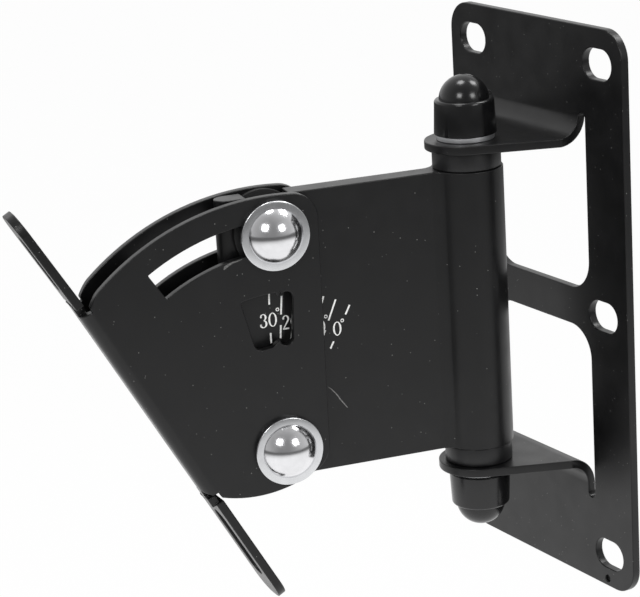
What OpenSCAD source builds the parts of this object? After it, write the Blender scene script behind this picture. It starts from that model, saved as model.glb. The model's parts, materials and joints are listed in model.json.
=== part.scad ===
// Speaker wall bracket: a slotted wall plate with two bent lugs, an arm that
// swivels on a bolt between the lugs, and a tilting channel head that carries
// the speaker. Millimetres, +Z up, the wall is the plane y = 0 and the bracket
// reaches towards -Y. The origin is the middle of the plate's back face.

/* [Wall plate] */
// Width of the wall plate
plate_w = 100; // [90:1:130]
// Height of the wall plate
plate_h = 200.4; // [196:0.2:240]
// Radius of the plate's corners
plate_corner_r = 10; // [4:0.5:14]
// Thickness of the steel sheet of the plate and its lugs
plate_t = 3; // [2:0.5:4]
// Distance from the side edges of the plate to the middle of the wall slots
slot_side = 13.6; // [10:0.1:16]
// Distance from the top and bottom edges to the middle of the outer wall slots
slot_end = 12.3; // [9.5:0.1:16]
// Length of a wall slot from end to end
slot_len = 15.6; // [12:0.2:16]
// Width of a wall slot
slot_w = 10.6; // [7:0.2:11]
// Diameter of the small hole for hanging the plate up while it is painted
hang_hole_d = 2.6; // [2:0.1:3]
// Distance from the bottom edge of the plate to the middle of the small hole
hang_hole_edge = 2.8; // [2.6:0.1:4]

/* [Windows and lugs] */
// Width of the two windows in the plate
window_w = 57.8; // [50:0.2:58]
// Length of the relief slots of the upper window beyond the bend of the lug
upper_relief_run = 0.9; // [0.5:0.1:4]
// Length of the relief slots of the lower window beyond the bend of the lug
lower_relief_run = 4.6; // [0.5:0.1:6]
// Height of the crossbar between the windows
crossbar_h = 13.6; // [10:0.2:20]
// Distance of the crossbar above the middle of the plate
crossbar_z = 0.3; // [-4:0.1:4]
// Radius of the window corners beside the crossbar
window_corner_r = 11; // [5:0.5:14]
// Width of the relief slot on each side of a lug's bend
relief_w = 3.6; // [2.5:0.1:5]
// Inner radius of the bend of each lug
lug_bend_r = 7.2; // [4:0.2:8]
// Radius of the round end of each lug
lug_end_r = 14.3; // [13:0.1:18]
// Distance from the wall to the swivel axis
swivel_reach = 32.1; // [31:0.5:44]
// Height of the middle of the arm above the middle of the plate
swivel_z = 2.4; // [0:0.1:3]

/* [Arm] */
// Thickness of the steel sheet that is folded into the arm
arm_sheet = 4; // [3:0.5:4.5]
// Outer diameter of the rolled knuckle
knuckle_d = 25; // [23:0.5:27]
// Height of the arm
arm_h = 99.8; // [97:0.2:101]
// Distance from the swivel axis to the folded front end of the arm
arm_reach = 90.9; // [89:0.1:110]
// Radius of the hollow between the knuckle and each side of the arm
knuckle_blend_r = 6; // [3:0.5:10]
// Distance from the swivel axis to the two head bolts
bolt_reach = 73.3; // [72:0.1:76]
// Distance from the top edge of the arm down to the clamp bolt
clamp_edge = 12.5; // [11:0.1:14]
// Distance from the pivot bolt to the clamp bolt
bolt_gap = 76; // [73:0.2:77]
// Width of the open notch in the top edge of the arm
notch_w = 15; // [13.5:0.2:17]
// How far the arm now points to the side, negative towards -X
swivel_now = -12; // [-60:1:60]
// Height of the flanges between the lugs and the knuckle
flange_h = 6.6; // [4:0.2:8]
// Diameter of the flange of each bush
flange_d = 23.8; // [21:0.2:24]
// Length of the part of each bush inside the knuckle
spigot_len = 14; // [8:1:30]

/* [Head] */
// Thickness of the steel sheet of the head
head_t = 3; // [2:0.5:3.5]
// Distance from the pivot axis to the speaker face of the head
face_reach = 32.4; // [30:0.1:38]
// Radius of the curved top edge about the pivot axis
fan_r = 89.5; // [87:0.5:96]
// Distance from the pivot axis to the straight rear edge of the cheeks
rear_edge = 15; // [13.5:0.1:17]
// Slope of the rear edge of the cheeks from upright, with the head untilted
rear_slope = 29; // [24:0.5:32]
// Radius of the corner between the rear edge and the curved top edge
rear_corner_r = 9; // [4:0.5:12]
// Radius of the curved bottom edge of the cheeks
belly_r = 43.7; // [42:0.1:50]
// Distance from the pivot axis to the lowest point of the curved bottom edge
belly_drop = 12.7; // [11.5:0.1:13.5]
// Inner radius of the bends between the cheeks and the speaker face
head_bend_r = 1.5; // [0.5:0.5:2.5]
// Half the length of the speaker face from end to end
face_half = 84.5; // [80:0.1:100]
// Height of the middle of the speaker face above the pivot axis, untilted
face_mid = 38.5; // [37:0.1:41]
// Radius of the corners of the speaker face
face_corner_r = 7; // [3:0.5:8.5]
// Forward lean of the upper tab, bent at its root
upper_tab_lean = 2; // [0:0.1:4]
// Turn of the upper tab about its far side edge
upper_tab_turn = 1.4; // [0:0.1:3]
// Turn of the lower tab about its far side edge
lower_tab_turn = 4.7; // [0:0.1:6]
// Length of the slot in the upper tab from end to end
upper_slot_len = 23; // [18:0.5:27]
// Length of the slot in the lower tab from end to end
lower_slot_len = 30; // [18:0.5:34]
// Width of the slot in each tab
tab_slot_w = 8.5; // [6:0.5:9]
// Distance from the end of the upper tab to the end of its slot
upper_slot_edge = 8; // [6:0.2:12]
// Distance from the end of the lower tab to the end of its slot
lower_slot_edge = 9.8; // [6:0.2:12]
// Radius of the corner between the curved top edge and the speaker face
front_corner_r = 17; // [10:0.5:22]
// Height of the relief notch at each end of the two bends
bend_notch_h = 3.4; // [2.5:0.1:5]
// Depth of the shallow relief notches at the lower ends of the two bends
low_notch_w = 1.4; // [0.6:0.1:2.5]
// Lowest tilt of the head
tilt_min = 0; // [0:1:4]
// Highest tilt of the head
tilt_max = 30; // [29:1:31]
// Tilt of the head now
tilt_now = 28.5; // [4:0.5:29]
// Free angle left beyond each end of the tilt range
tilt_spare = 0.7; // [0.2:0.1:1]
// Width of the curved slot for the clamp bolt
arc_slot_w = 10.5; // [10.4:0.1:11]
// Inner radius of the scale window about the pivot axis
view_r0 = 37.2; // [36:0.2:39]
// Outer radius of the scale window about the pivot axis
view_r1 = 56; // [52:0.2:58]
// Angle of the front edge of the scale window from upright
view_a0 = -14.8; // [-18:0.2:-12]
// Angle of the rear edge of the scale window from upright
view_a1 = -34.4; // [-38:0.2:-33]
// Angle of the two pointers of the scale window from upright
pointer_a = -28.4; // [-30:0.1:-27]
// Height of the lower pointer
pointer_h = 2.4; // [1.5:0.1:4]
// Radius of the lower corners of the scale window
view_corner_r = 3; // [2:0.1:4]
// Width of the narrow slot at the rear of the scale window
view_lobe_w = 4.8; // [4.4:0.1:6]

/* [Head bolts] */
// Shank diameter of the two head bolts
bolt_d = 9.8; // [9:0.1:9.9]
// Diameter of the domed bolt heads
dome_d = 19.2; // [17:0.2:21]
// Height of the domed bolt heads
dome_h = 5.6; // [4:0.2:8]
// Diameter of the large steel washers
washer_d = 24; // [22:0.5:26]
// Thickness of the large steel washers
washer_t = 2; // [1.5:0.1:3]
// Diameter of the plastic liners between the arm and the cheeks
liner_d = 26; // [22:0.5:27]
// Thickness of the plastic liners
liner_t = 1.8; // [1:0.1:2.5]
// Width across the flats of the nuts and of the swivel bolt's head
nut_af = 16; // [15:0.5:17]
// Height of the nuts
nut_h = 8; // [6:0.5:9]
// Length of thread that stands out beyond a nut
thread_out = 2; // [1:0.5:3]

/* [Swivel bolt] */
// Shank diameter of the swivel bolt
swivel_d = 10; // [8:0.5:10]
// Diameter of the washers under the caps
small_washer_d = 20; // [18:0.5:21]
// Thickness of the washers under the caps
small_washer_t = 2; // [1.5:0.1:2.5]
// Height of the head of the swivel bolt
hex_head_h = 6.4; // [5:0.2:8]
// Diameter of a plastic cap at its foot
cap_d = 21.6; // [21.2:0.1:24]
// Height of the straight part of a cap
cap_body_h = 12; // [11:0.2:16]
// Narrowing of a cap from its foot to its shoulder
cap_draft = 1.1; // [0:0.1:2]
// Radius of the dome of a cap
cap_dome_r = 8.7; // [7:0.1:9]
// Wall thickness of a cap
cap_wall = 1; // [0.7:0.1:1.1]

/* [Clearances] */
// Clearance around a part that turns on a bolt
turn_play = 0.08; // [0.03:0.01:0.1]
// Clearance around a bolt in a fixed hole
hole_play = 0.1; // [0.05:0.05:0.3]

/* [Hidden] */
$fn = 96;
cut = 0.5;

// Columns and rows of wall slots, from the middle of the plate
slot_col = plate_w / 2 - slot_side;
slot_row = plate_h / 2 - slot_end;

// Lugs: each one bends out of the plate and lies level beyond its bend
lug_outer_r = lug_bend_r + plate_t;
lug_inner_z = arm_h / 2 + flange_h;
bend_line_z = lug_inner_z + lug_outer_r;
lug_root_w = window_w / 2 - relief_w;

// Arm
arm_t = 2 * arm_sheet;
knuckle_bore = knuckle_d - 2 * arm_sheet;
clamp_z = arm_h / 2 - clamp_edge;
pivot_z = clamp_z - bolt_gap;
blend_bite = 0.015;
corner_bite = 0.05;

// Stack along the head bolts, measured from the middle of the arm
cheek_in = arm_t / 2 + liner_t;
cheek_out = cheek_in + head_t;
washer_out = cheek_out + washer_t;
spring_t = 2.2;
nut_in = washer_out + spring_t;
nut_out = nut_in + nut_h;
bolt_end = nut_out + thread_out;

// Head
slot_end_a = asin((bolt_d / 2) / bolt_gap) + tilt_spare;
arc_front_a = slot_end_a - tilt_min;
arc_rear_a = -tilt_max - slot_end_a;
head_outer_r = head_bend_r + head_t;
belly_x = -3;
belly_z = belly_r - belly_drop;
face_low = face_mid - face_half;
face_high = face_mid + face_half;
bend_low = 2.4;
bend_high = sqrt(fan_r * fan_r - pow(face_reach - head_outer_r, 2)) - 3;
tab_top_root = bend_high + bend_notch_h;
tab_low_root = bend_low - bend_notch_h;

// Swivel bolt
lug_outer_z = lug_inner_z + plate_t;
cap_foot_z = lug_outer_z + small_washer_t;
cap_shoulder_z = cap_foot_z + cap_body_h;
cap_edge_r = 1;

black = [0.07, 0.07, 0.075];
soft_black = [0.11, 0.11, 0.115];
zinc = [0.78, 0.79, 0.8];
chrome = [0.88, 0.88, 0.9];
nylon = [0.16, 0.16, 0.17];

// Rectangle with rounded corners, centred
module round_rect(w, h, r) {
    union() {
        square([w - 2 * r, h], center = true);
        square([w, h - 2 * r], center = true);
        for (x = [-1, 1], y = [-1, 1])
            translate([x * (w / 2 - r), y * (h / 2 - r)])
                circle(r);
    }
}

// Upright slot with round ends between two heights
module upright_slot(w, y0, y1) {
    translate([0, y0 + w / 2]) circle(w / 2);
    translate([0, y1 - w / 2]) circle(w / 2);
    translate([-w / 2, y0 + w / 2]) square([w, y1 - y0 - w]);
}

// Window between the crossbar and the bend line of a lug, drawn above z = 0
module window_outline(bar_edge, bend_z, relief_run) {
    r = window_corner_r;
    hw = window_w / 2;
    translate([-hw + r, bar_edge]) square([2 * (hw - r), bend_z - bar_edge]);
    translate([-hw, bar_edge + r]) square([2 * hw, bend_z - bar_edge - r]);
    for (x = [-1, 1])
        translate([x * (hw - r), bar_edge + r]) circle(r);
    for (x = [-1, 1])
        translate([x * (hw - relief_w / 2), 0])
            upright_slot(relief_w, bend_z - 2 * relief_w, bend_z + relief_run);
}

module plate_outline() {
    difference() {
        round_rect(plate_w, plate_h, plate_corner_r);
        window_outline(crossbar_z + crossbar_h / 2, bend_line_z + swivel_z,
            upper_relief_run);
        mirror([0, 1, 0])
            window_outline(crossbar_h / 2 - crossbar_z, bend_line_z - swivel_z,
                lower_relief_run);
        for (x = [-1, 1], row = [-1, 0, 1])
            translate([x * slot_col - slot_len / 2, row * slot_row])
                rotate(-90) upright_slot(slot_w, 0, slot_len);
        translate([slot_col - hang_hole_d / 2, hang_hole_edge - plate_h / 2])
            circle(hang_hole_d / 2);
    }
}

// Side view of an upper lug: first axis is the distance from the wall
module lug_side() {
    reach = swivel_reach + lug_end_r + cut;
    intersection() {
        translate([lug_outer_r, bend_line_z])
            difference() {
                circle(lug_outer_r);
                circle(lug_bend_r);
            }
        translate([0, lug_inner_z]) square([lug_outer_r, lug_outer_r]);
    }
    translate([lug_outer_r, lug_inner_z]) square([reach - lug_outer_r, plate_t]);
    translate([0, bend_line_z - 0.1]) square([plate_t, 1]);
}

// Top view of a lug: full width at the bend, then tapering to the round end
module lug_top() {
    run = swivel_reach - lug_outer_r;
    span = sqrt(run * run + lug_root_w * lug_root_w);
    lean = atan2(run, lug_root_w) - acos(lug_end_r / span);
    tx = lug_end_r * cos(lean);
    ty = -swivel_reach + lug_end_r * sin(lean);
    union() {
        translate([-lug_root_w, -lug_outer_r]) square([2 * lug_root_w, lug_outer_r]);
        polygon([[-lug_root_w, -lug_outer_r], [lug_root_w, -lug_outer_r],
            [tx, ty], [-tx, ty]]);
        translate([0, -swivel_reach]) circle(lug_end_r);
    }
}

module lug() {
    difference() {
        intersection() {
            translate([lug_root_w + 1, 0, 0])
                rotate([90, 0, -90])
                    linear_extrude(2 * lug_root_w + 2) lug_side();
            translate([0, 0, lug_inner_z - cut])
                linear_extrude(lug_outer_r + 2 + cut) lug_top();
        }
        translate([0, -swivel_reach, lug_inner_z - cut])
            cylinder(h = plate_t + 2 * cut, r = swivel_d / 2 + hole_play);
    }
}

module wall_plate() {
    color(black) union() {
        rotate([90, 0, 0]) linear_extrude(plate_t) plate_outline();
        translate([0, 0, swivel_z]) lug();
        translate([0, 0, swivel_z]) mirror([0, 0, 1]) lug();
    }
}

// Places a part that swivels with the arm
module on_arm() {
    translate([0, -swivel_reach, swivel_z]) rotate([0, 0, swivel_now]) children();
}

// Places a part along a head bolt, first axis outwards from the arm's +X side
module on_bolt(z) {
    on_arm() translate([0, -bolt_reach, z]) rotate([0, 90, 0]) children();
}

// Places a part that tilts with the head, drawn about the pivot axis
module on_head() {
    on_arm() translate([0, -bolt_reach, pivot_z]) rotate([tilt_now, 0, 0]) children();
}

// Hollows that blend the knuckle into the two sides of the arm, from above
module knuckle_blend() {
    r = knuckle_blend_r;
    bx = arm_t / 2 + r - blend_bite;
    by = sqrt(pow(knuckle_d / 2 + r - blend_bite, 2) - bx * bx);
    difference() {
        polygon([[0, 0], [bx, -by], [-bx, -by]]);
        for (s = [-1, 1]) translate([s * bx, -by]) circle(r);
    }
}

// The arm is one strip, folded flat at its front end and rolled round the bolt
module arm_strip() {
    hx = arm_t / 2;
    difference() {
        union() {
            cylinder(h = arm_h, d = knuckle_d);
            translate([-hx, -arm_reach + hx, 0]) cube([arm_t, arm_reach - hx, arm_h]);
            translate([0, -arm_reach + hx, 0]) cylinder(h = arm_h, r = hx);
            linear_extrude(arm_h) knuckle_blend();
        }
        translate([0, 0, -cut]) cylinder(h = arm_h + 2 * cut, d = knuckle_bore);
    }
}

module arm() {
    color(black) on_arm() difference() {
        translate([0, 0, -arm_h / 2]) arm_strip();
        translate([-arm_t / 2 - cut, -bolt_reach, clamp_z])
            rotate([0, 90, 0]) cylinder(h = arm_t + 2 * cut, r = notch_w / 2);
        translate([-arm_t / 2 - cut, -bolt_reach - notch_w / 2, clamp_z])
            cube([arm_t + 2 * cut, notch_w, arm_h]);
        translate([-arm_t / 2 - cut, -bolt_reach, pivot_z])
            rotate([0, 90, 0]) cylinder(h = arm_t + 2 * cut, r = bolt_d / 2 + hole_play);
    }
}

// Ring sector about the pivot axis between two angles from upright
module ring_sector(r0, r1, a0, a1) {
    far = 2 * r1;
    mid = (a0 + a1) / 2;
    intersection() {
        difference() {
            circle(r1, $fn = 180);
            circle(r0, $fn = 180);
        }
        polygon([[0, 0], [far * sin(a0), far * cos(a0)],
            [far * sin(mid), far * cos(mid)], [far * sin(a1), far * cos(a1)]]);
    }
}

// Side view of a cheek, drawn with its rear edge upright
module cheek_turned() {
    r = rear_corner_r;
    cx = -rear_edge + r;
    cy = sqrt(pow(fan_r - r, 2) - cx * cx);
    ty = cy * fan_r / (fan_r - r);
    tx = cx * fan_r / (fan_r - r);
    difference() {
        intersection() {
            circle(fan_r, $fn = 240);
            translate([-rear_edge, -fan_r]) square([2 * fan_r, 2 * fan_r]);
        }
        difference() {
            polygon([[cx, cy], [-rear_edge - 1, cy], [-rear_edge - 1, ty + 6],
                [tx, ty + 6], [tx, ty]]);
            translate([cx, cy]) circle(r);
        }
    }
}

// Round lower rear corner of a cheek, tangent to the rear edge and the belly
module cheek_corner_cut() {
    a = rear_slope;
    r = rear_edge - 5;
    bx = belly_x * cos(a) + belly_z * sin(a);
    bz = -belly_x * sin(a) + belly_z * cos(a);
    cx = -rear_edge + r;
    cz = bz - sqrt(pow(belly_r - r, 2) - pow(cx - bx, 2));
    k = belly_r / (belly_r - r);
    tx = bx + (cx - bx) * k;
    tz = bz + (cz - bz) * k;
    rotate(a) difference() {
        polygon([[cx, cz], [-rear_edge - 1, cz], [-rear_edge - 1, tz - 8],
            [tx, tz - 8], [tx, tz]]);
        translate([cx, cz]) circle(r);
    }
}

// Round upper front corner of a cheek, tangent to the curved top edge
module front_corner_cut() {
    r = front_corner_r;
    front = face_reach - head_outer_r;
    lean = 13.5;
    cx = (fan_r - r) * sin(lean);
    cy = (fan_r - r) * cos(lean);
    difference() {
        polygon([[cx, cy], [cx + 1.2 * r * sin(lean), cy + 1.2 * r * cos(lean)],
            [front, fan_r], [front, cy]]);
        translate([cx, cy]) circle(r + corner_bite);
    }
}

module cheek_side() {
    difference() {
        intersection() {
            rotate(rear_slope) cheek_turned();
            union() {
                translate([belly_x, belly_z]) circle(belly_r, $fn = 180);
                translate([-fan_r, belly_z]) square([2 * fan_r, fan_r]);
            }
        }
        cheek_corner_cut();
        front_corner_cut();
    }
}

// Top view of the channel: a U that is closed at the speaker face
module channel_part(hw, y, r) {
    translate([-hw + r, y]) square([2 * (hw - r), fan_r * 2]);
    translate([-hw, y + r]) square([2 * hw, fan_r * 2]);
    for (x = [-1, 1]) translate([x * (hw - r), y + r]) circle(r);
}

module channel_top() {
    difference() {
        channel_part(cheek_out, -face_reach, head_outer_r);
        channel_part(cheek_in, -face_reach + head_t, head_bend_r);
    }
}

module slot_low() {
    upright_slot(tab_slot_w, face_low + lower_slot_edge,
        face_low + lower_slot_edge + lower_slot_len);
}

module slot_high() {
    upright_slot(tab_slot_w, face_high - upper_slot_edge - upper_slot_len,
        face_high - upper_slot_edge);
}

// Part of the speaker face and its tabs between two heights
module face_band(z0, z1) {
    intersection() {
        translate([0, face_mid])
            round_rect(2 * cheek_out, 2 * face_half, face_corner_r);
        translate([-2 * cheek_out, z0]) square([4 * cheek_out, z1 - z0]);
    }
}

// Middle of the speaker face without the bends at its sides
module face_sheet() {
    translate([0, -face_reach + head_t, 0]) rotate([90, 0, 0])
        linear_extrude(head_t) difference() {
            face_band(tab_low_root - 0.6, tab_top_root + 0.6);
            slot_low();
            slot_high();
            for (s = [-1, 1]) {
                translate([s * cheek_out - head_outer_r, bend_low - cut])
                    square([2 * head_outer_r, tab_top_root - bend_low + 0.6 + 2 * cut]);
                translate([s * cheek_out - low_notch_w, tab_low_root - 1])
                    square([2 * low_notch_w, bend_notch_h + 1 + cut]);
            }
        }
}

// Upper tab, bent forward at its root and turned a little
module tab_high() {
    translate([-cheek_out, -face_reach, tab_top_root])
        rotate([upper_tab_lean, 0, 0]) rotate([0, 0, upper_tab_turn])
            translate([cheek_out, head_t, -tab_top_root]) rotate([90, 0, 0])
                linear_extrude(head_t) difference() {
                    face_band(tab_top_root, face_high + 1);
                    slot_high();
                }
}

// Lower tab, turned about its far side edge
module tab_low() {
    translate([-cheek_out, -face_reach, 0]) rotate([0, 0, lower_tab_turn])
        translate([cheek_out, head_t, 0]) rotate([90, 0, 0])
            linear_extrude(head_t) difference() {
                face_band(face_low - 1, tab_low_root);
                slot_low();
            }
}

// Scale window: a wide sector with a round lower corner and two pointers
module view_outline() {
    rr = view_corner_r;
    cy = sqrt(pow(view_r0 + rr, 2) - rr * rr);
    k = (view_r0 - 1.5) / (view_r0 + rr);
    difference() {
        ring_sector(view_r0, view_r1, view_a0, pointer_a - 1);
        rotate(-view_a0) difference() {
            polygon([[-rr, cy], [1, cy], [1, view_r0 - 3], [-rr * k, cy * k]]);
            translate([-rr, cy]) circle(rr + corner_bite);
        }
        rotate(-pointer_a) polygon([[4, view_r0 - 1], [0, view_r0 + pointer_h],
            [-3, view_r0 - 1]]);
        rotate(-pointer_a) polygon([[-1.4, view_r1 + 1], [1.4, view_r1 + 1],
            [0, view_r1 - 1.3]]);
    }
}

// Narrow slot with round ends that joins the rear side of the scale window
module view_lobe() {
    lobe_a = view_a1 + asin(view_lobe_w / (view_r0 + view_r1));
    rotate(-lobe_a) upright_slot(view_lobe_w, view_r0, view_r1);
}

module head() {
    w = 2 * cheek_out + 2;
    color(black) on_head() difference() {
        union() {
            intersection() {
                translate([0, 0, -fan_r]) linear_extrude(2 * fan_r) channel_top();
                translate([w / 2, 0, 0]) rotate([90, 0, -90])
                    linear_extrude(w) cheek_side();
                translate([-w, -fan_r * 2, -fan_r]) difference() {
                    cube([2 * w, fan_r * 4, fan_r * 2]);
                    translate([-1, -1, fan_r + bend_high])
                        cube([2 * w + 2, fan_r * 2 - face_reach + head_outer_r + 1, fan_r]);
                    translate([-1, -1, -1])
                        cube([2 * w + 2, fan_r * 2 - face_reach + head_outer_r + 1,
                            fan_r + bend_low + 1]);
                }
            }
            face_sheet();
            tab_high();
            tab_low();
        }
        translate([w / 2, 0, 0]) rotate([90, 0, -90])
            linear_extrude(w)
                ring_sector(bolt_gap - arc_slot_w / 2, bolt_gap + arc_slot_w / 2,
                    arc_front_a, arc_rear_a);
        translate([-w / 2, 0, 0]) rotate([0, 90, 0])
            cylinder(h = w, r = bolt_d / 2 + turn_play);
        translate([w / 2, 0, 0]) rotate([90, 0, -90])
            linear_extrude(w / 2) view_outline();
        translate([w / 2, 0, 0]) rotate([90, 0, -90])
            linear_extrude(w / 2) view_lobe();
    }
}

// Flanged plastic bush, drawn for the upper end of the knuckle
module bush() {
    difference() {
        union() {
            translate([0, 0, arm_h / 2]) cylinder(h = flange_h, d = flange_d);
            translate([0, 0, arm_h / 2 - spigot_len])
                cylinder(h = spigot_len + cut, r = knuckle_bore / 2 - 0.02);
        }
        translate([0, 0, arm_h / 2 - spigot_len - cut])
            cylinder(h = spigot_len + flange_h + 2 * cut, r = swivel_d / 2 + turn_play);
    }
}

module upper_bush() {
    color(soft_black) on_arm() bush();
}

module lower_bush() {
    color(soft_black) on_arm() mirror([0, 0, 1]) bush();
}

// Plain ring that lies on z = 0
module ring(d, h, bore_r) {
    difference() {
        cylinder(h = h, d = d);
        translate([0, 0, -cut]) cylinder(h = h + 2 * cut, r = bore_r);
    }
}

// Hexagon with its upper and lower corners turned round
module hexagon(af, h) {
    r = af / sqrt(3);
    intersection() {
        cylinder(h = h, r = r, $fn = 6);
        rotate_extrude() polygon([[0, 0], [r - 0.8, 0], [r + 0.1, 0.5],
            [r + 0.1, h - 0.5], [r - 0.8, h], [0, h]]);
    }
}

module at_swivel() {
    translate([0, -swivel_reach, swivel_z]) children();
}

module swivel_bolt() {
    low = -cap_foot_z - nut_h - thread_out;
    color(zinc) at_swivel() {
        translate([0, 0, low]) cylinder(h = cap_foot_z - low + cut, d = swivel_d);
        translate([0, 0, cap_foot_z]) hexagon(nut_af, hex_head_h);
    }
}

module nut(d, play) {
    difference() {
        hexagon(nut_af, nut_h);
        translate([0, 0, -cut]) cylinder(h = nut_h + 2 * cut, r = d / 2 + play);
    }
}

module swivel_nut() {
    color(zinc) at_swivel() translate([0, 0, -cap_foot_z]) mirror([0, 0, 1])
        nut(swivel_d, 0.02);
}

module upper_swivel_washer() {
    color(zinc) at_swivel() translate([0, 0, lug_outer_z])
        ring(small_washer_d, small_washer_t, swivel_d / 2 + hole_play);
}

module lower_swivel_washer() {
    color(zinc) at_swivel() mirror([0, 0, 1]) translate([0, 0, lug_outer_z])
        ring(small_washer_d, small_washer_t, swivel_d / 2 + hole_play);
}

// Half outline of a cap: tapered body with a rounded shoulder, then a dome
module cap_outline(inset) {
    r0 = cap_d / 2 - inset;
    r1 = r0 - cap_draft / 2;
    h = cap_body_h - inset;
    e = cap_edge_r;
    polygon([[0, 0], [r0, 0], [r1, h - e], [r1 - e, h], [0, h]]);
    if (inset == 0) translate([r1 - e, h - e]) circle(e, $fn = 32);
    intersection() {
        translate([0, cap_body_h - 0.6]) circle(cap_dome_r - inset);
        square([cap_dome_r, 2 * cap_body_h]);
    }
}

module cap() {
    translate([0, 0, cap_foot_z]) rotate_extrude() difference() {
        intersection() {
            cap_outline(0);
            square([cap_d, 3 * cap_body_h]);
        }
        translate([0, -cut]) square([cap_d / 2 - cap_wall, cut + 0.01]);
        cap_outline(cap_wall);
    }
}

module upper_cap() {
    color(soft_black) at_swivel() cap();
}

module lower_cap() {
    color(soft_black) at_swivel() mirror([0, 0, 1]) cap();
}

// Domed bolt, drawn along its axis from the middle of the arm
module head_bolt() {
    ball_r = (pow(dome_d / 2, 2) + dome_h * dome_h) / (2 * dome_h);
    union() {
        translate([0, 0, -bolt_end]) cylinder(h = bolt_end + washer_out + cut, d = bolt_d);
        translate([0, 0, washer_out]) rotate_extrude() intersection() {
            translate([0, dome_h - ball_r]) circle(ball_r, $fn = 180);
            square([dome_d / 2, dome_h]);
        }
    }
}

module clamp_bolt() {
    color(chrome) on_bolt(clamp_z) head_bolt();
}

module pivot_bolt() {
    color(chrome) on_bolt(pivot_z) head_bolt();
}

module near_washer() {
    translate([0, 0, cheek_out]) ring(washer_d, washer_t, bolt_d / 2 + hole_play);
}

module near_liner() {
    translate([0, 0, arm_t / 2]) ring(liner_d, liner_t, bolt_d / 2 + hole_play);
}

module clamp_near_washer() {
    color(zinc) on_bolt(clamp_z) near_washer();
}

module clamp_far_washer() {
    color(zinc) on_bolt(clamp_z) mirror([0, 0, 1]) near_washer();
}

module pivot_near_washer() {
    color(zinc) on_bolt(pivot_z) near_washer();
}

module pivot_far_washer() {
    color(zinc) on_bolt(pivot_z) mirror([0, 0, 1]) near_washer();
}

module clamp_near_liner() {
    color(nylon) on_bolt(clamp_z) near_liner();
}

module clamp_far_liner() {
    color(nylon) on_bolt(clamp_z) mirror([0, 0, 1]) near_liner();
}

module pivot_near_liner() {
    color(nylon) on_bolt(pivot_z) near_liner();
}

module pivot_far_liner() {
    color(nylon) on_bolt(pivot_z) mirror([0, 0, 1]) near_liner();
}

// Sleeve that fills the notch around the clamp bolt
module notch_sleeve() {
    color(zinc) on_bolt(clamp_z) translate([0, 0, -arm_t / 2])
        ring(notch_w - 2 * hole_play, arm_t, bolt_d / 2 + hole_play);
}

// Split spring washer with its slit turned away from the thread
module spring_washer() {
    mirror([0, 0, 1]) translate([0, 0, washer_out]) difference() {
        ring(bolt_d + 8, spring_t, bolt_d / 2 + hole_play);
        translate([bolt_d / 2 - 1, -0.5, -cut]) cube([8, 1, spring_t + 2 * cut]);
    }
}

module clamp_spring_washer() {
    color(zinc) on_bolt(clamp_z) spring_washer();
}

module pivot_spring_washer() {
    color(zinc) on_bolt(pivot_z) spring_washer();
}

module far_nut() {
    mirror([0, 0, 1]) translate([0, 0, nut_in]) nut(bolt_d, 0.02);
}

module clamp_nut() {
    color(zinc) on_bolt(clamp_z) far_nut();
}

module pivot_nut() {
    color(zinc) on_bolt(pivot_z) far_nut();
}

wall_plate();
arm();
head();
upper_bush();
lower_bush();
swivel_bolt();
swivel_nut();
upper_swivel_washer();
lower_swivel_washer();
upper_cap();
lower_cap();
clamp_bolt();
pivot_bolt();
clamp_near_washer();
clamp_far_washer();
pivot_near_washer();
pivot_far_washer();
clamp_near_liner();
clamp_far_liner();
pivot_near_liner();
pivot_far_liner();
notch_sleeve();
clamp_spring_washer();
pivot_spring_washer();
clamp_nut();
pivot_nut();
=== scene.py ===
"""Speaker wall bracket in black powder-coated steel, with bright hardware and plastic caps."""
import json
import math

import bmesh
import bpy
import numpy as np
from mathutils import Matrix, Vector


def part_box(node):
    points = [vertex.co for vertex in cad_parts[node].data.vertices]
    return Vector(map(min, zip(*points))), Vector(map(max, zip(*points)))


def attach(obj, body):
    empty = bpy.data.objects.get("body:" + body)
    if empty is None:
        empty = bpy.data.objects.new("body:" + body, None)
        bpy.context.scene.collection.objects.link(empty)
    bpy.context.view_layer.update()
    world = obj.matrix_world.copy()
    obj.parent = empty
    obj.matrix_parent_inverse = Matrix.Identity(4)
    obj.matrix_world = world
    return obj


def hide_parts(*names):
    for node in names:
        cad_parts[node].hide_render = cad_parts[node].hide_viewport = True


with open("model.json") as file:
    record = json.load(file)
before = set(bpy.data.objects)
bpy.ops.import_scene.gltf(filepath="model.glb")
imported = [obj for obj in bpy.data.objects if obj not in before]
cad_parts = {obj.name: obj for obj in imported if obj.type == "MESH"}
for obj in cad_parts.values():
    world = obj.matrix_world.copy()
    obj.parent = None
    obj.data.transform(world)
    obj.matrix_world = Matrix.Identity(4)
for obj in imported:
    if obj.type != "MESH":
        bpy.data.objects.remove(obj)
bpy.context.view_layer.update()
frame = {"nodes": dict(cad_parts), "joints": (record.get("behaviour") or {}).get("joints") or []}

bl_info = {
    "name": "Speaker wall bracket",
    "version": (1, 0, 0),
    "blender": (4, 5, 0),
    "location": "3D View > Sidebar > Bracket",
    "description": "Dresses the solids of a swivelling, tilting speaker wall bracket",
    "category": "Object",
}

MM = 0.001
# Points nearer to each other than WELD are merged and edges shorter than NO_LENGTH go, in metres.
WELD = 2e-7
NO_LENGTH = 1e-8


# Places

def joint(name):
    """The stored joint of that name."""
    return next(j for j in frame["joints"] if j["name"] == name)


SWIVEL = np.array(joint("swivel")["pos_m"], float)
PIVOT = np.array(joint("tilt")["pos_m"], float)
SIDE = np.array(joint("tilt")["axis"], float)
SIDE = SIDE / np.linalg.norm(SIDE)
UP = np.array([0.0, 0.0, 1.0])
AWAY = np.cross(SIDE, UP)
AWAY = AWAY / np.linalg.norm(AWAY)


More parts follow.
